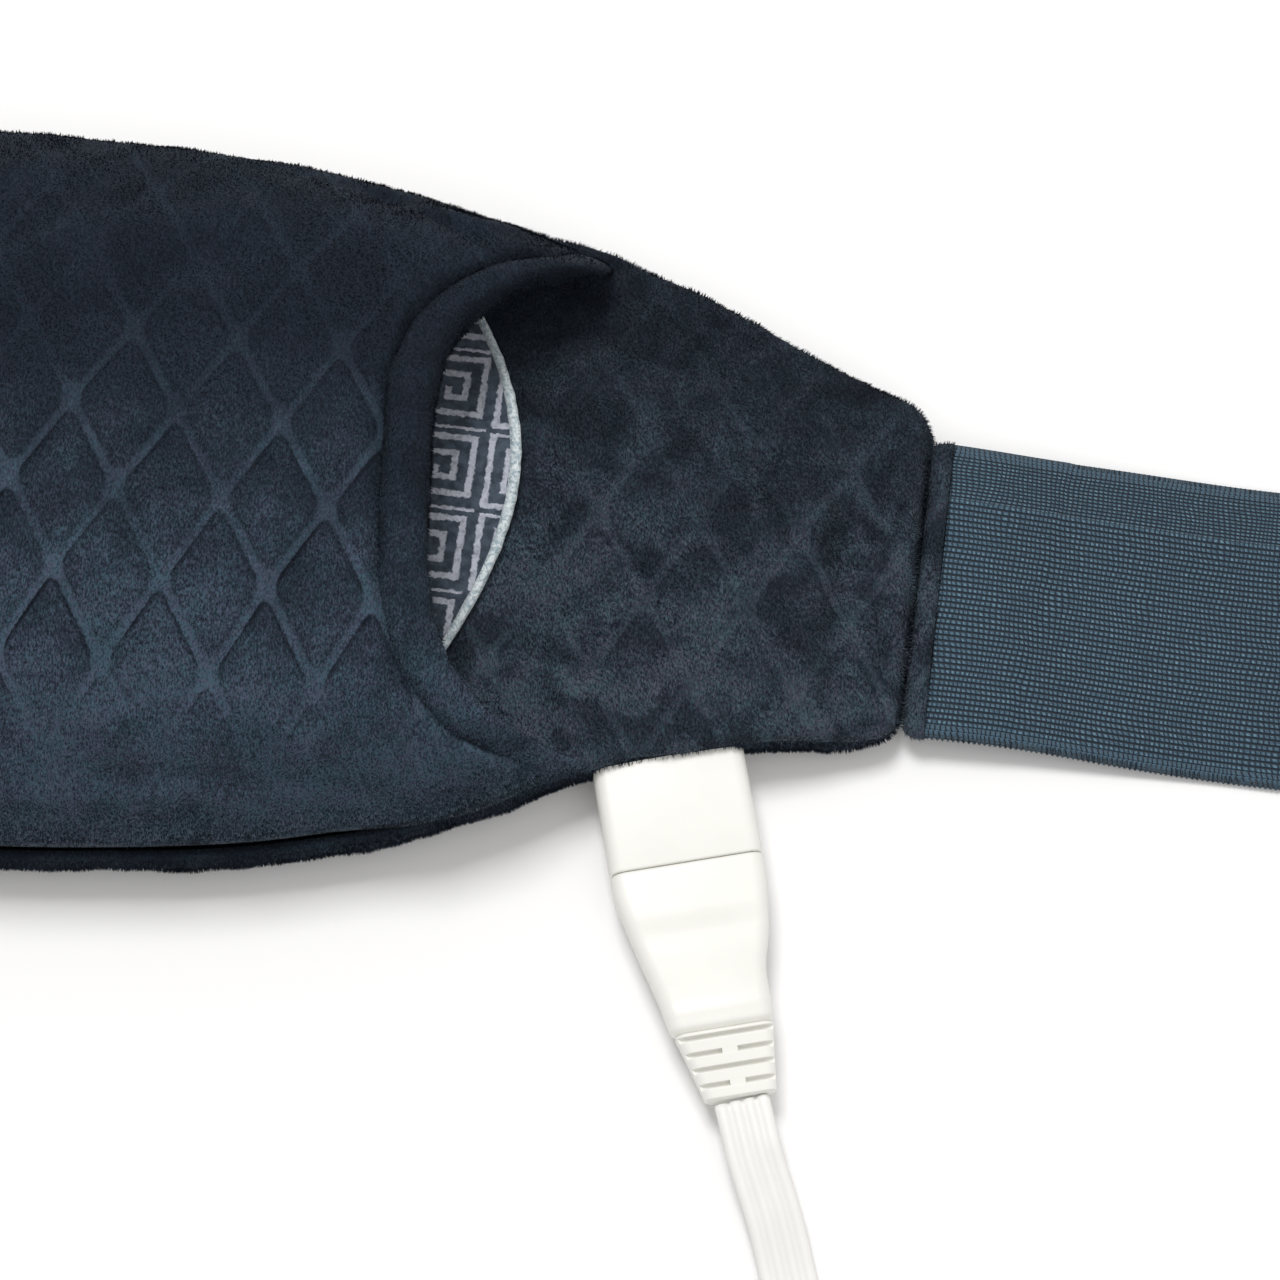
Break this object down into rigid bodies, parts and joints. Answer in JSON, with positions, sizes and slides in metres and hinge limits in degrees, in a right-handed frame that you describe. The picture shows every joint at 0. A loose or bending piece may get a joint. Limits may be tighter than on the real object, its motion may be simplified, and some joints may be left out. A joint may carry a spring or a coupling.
{
  "type": "heating belt",
  "caption": "Plush hand-warming muff worn round the waist on elastic straps, with a built-in heater, a plug-in flat lead, a hand controller and a mains plug.",
  "frame": {"origin": "middle of the belt without its lead, at the height of the surface that it lies on", "axes": "the belt lies face up: +X along the belt towards the side with the connector, +Y towards the wearer's head, +Z out of the front panel"},
  "size_m": [1.0546, 0.4162, 0.0517],
  "materials": {
    "plush": "short-pile plush with embossed diamonds",
    "dark_plush": "short-pile plush",
    "batting": "loose polyester batting",
    "printed_plush": "printed plush with a pale bound edge",
    "felt": "needled felt",
    "elastic": "ribbed knitted elastic",
    "hook_tape": "hook and loop tape",
    "ivory_plastic": "gloss",
    "white_cord": "soft satin",
    "grey_plastic": "satin",
    "dark_plastic": "gloss",
    "board": "solder mask",
    "copper": "bare copper alloy",
    "nickel": "nickel plated",
    "tie_strap": "satin"
  },
  "bodies": {
    "belt": {"back_cover": "dark_plush", "inner_panel": "plush", "heater_felt_lower": "felt", "heater_felt_upper": "felt", "back_padding": "batting", "heating_wire": "copper", "thermostat": "nickel", "thermal_fuse": "nickel", "pocket_floor_lining": "printed_plush", "front_cover": "plush", "front_padding": "batting", "pocket_roof_lining": "plush", "right_mouth_hem": "plush", "left_mouth_hem": "plush", "right_end_cuff": "plush", "left_end_cuff": "plush", "socket_upper_shell": "ivory_plastic", "socket_lower_shell": "ivory_plastic", "socket_insert": "grey_plastic", "socket_contact_1": "copper", "socket_contact_2": "copper", "socket_contact_3": "copper", "socket_contact_4": "copper", "heater_lead": "white_cord"},
    "right_strap": {"right_strap": "elastic", "hook_tab": "hook_tape", "right_strap_binding": "elastic"},
    "left_strap": {"left_strap": "elastic", "left_strap_binding": "elastic", "loop_patch": "hook_tape"},
    "lead": {"plug_body": "ivory_plastic", "plug_pin_1": "nickel", "plug_pin_2": "nickel", "plug_pin_3": "nickel", "plug_pin_4": "nickel", "plug_relief": "ivory_plastic", "flat_cord_run": "white_cord", "flat_cord_coil": "white_cord", "flat_cord_tie": "tie_strap", "flat_cord_tail": "white_cord", "controller_upper_shell": "ivory_plastic", "controller_lower_shell": "ivory_plastic", "controller_screw_1": "nickel", "controller_screw_2": "nickel", "controller_screw_3": "nickel", "controller_screw_4": "nickel", "controller_board": "board", "display_window": "dark_plastic", "controller_cord_relief": "ivory_plastic", "controller_mains_relief": "ivory_plastic", "mains_cord_run": "white_cord", "mains_cord_coil": "white_cord", "mains_cord_tie": "tie_strap", "mains_cord_tail": "white_cord", "mains_plug_body": "ivory_plastic", "mains_blade_1": "nickel", "mains_blade_2": "nickel"},
    "power_button": {"power_button": "grey_plastic"},
    "heat_button": {"heat_button": "grey_plastic"},
    "timer_button": {"timer_button": "grey_plastic"}
  },
  "joints": [
    {"name": "right_strap_fold", "type": "hinge", "parent": "belt", "child": "right_strap", "pos_m": [0.20578, -0.01239, 0.0061], "axis": [-0.0915, -0.9958, 0], "range_deg": [-60, 105]},
    {"name": "left_strap_fold", "type": "hinge", "parent": "belt", "child": "left_strap", "pos_m": [-0.20578, -0.01239, 0.0061], "axis": [-0.0915, 0.9958, 0], "range_deg": [-60, 105]},
    {"name": "plug_slide", "type": "slide", "parent": "belt", "child": "lead", "axis": [0.1994, -0.9799, 0], "range_m": [0, 0.022]},
    {"name": "power_press", "type": "slide", "parent": "lead", "child": "power_button", "axis": [0, 0, -1], "range_m": [0, 0.0012], "stiffness_N_per_m": 500, "springref_m": -0.0006},
    {"name": "heat_press", "type": "slide", "parent": "lead", "child": "heat_button", "axis": [0, 0, -1], "range_m": [0, 0.0012], "stiffness_N_per_m": 500, "springref_m": -0.0006},
    {"name": "timer_press", "type": "slide", "parent": "lead", "child": "timer_button", "axis": [0, 0, -1], "range_m": [0, 0.0012], "stiffness_N_per_m": 500, "springref_m": -0.0006}
  ]
}
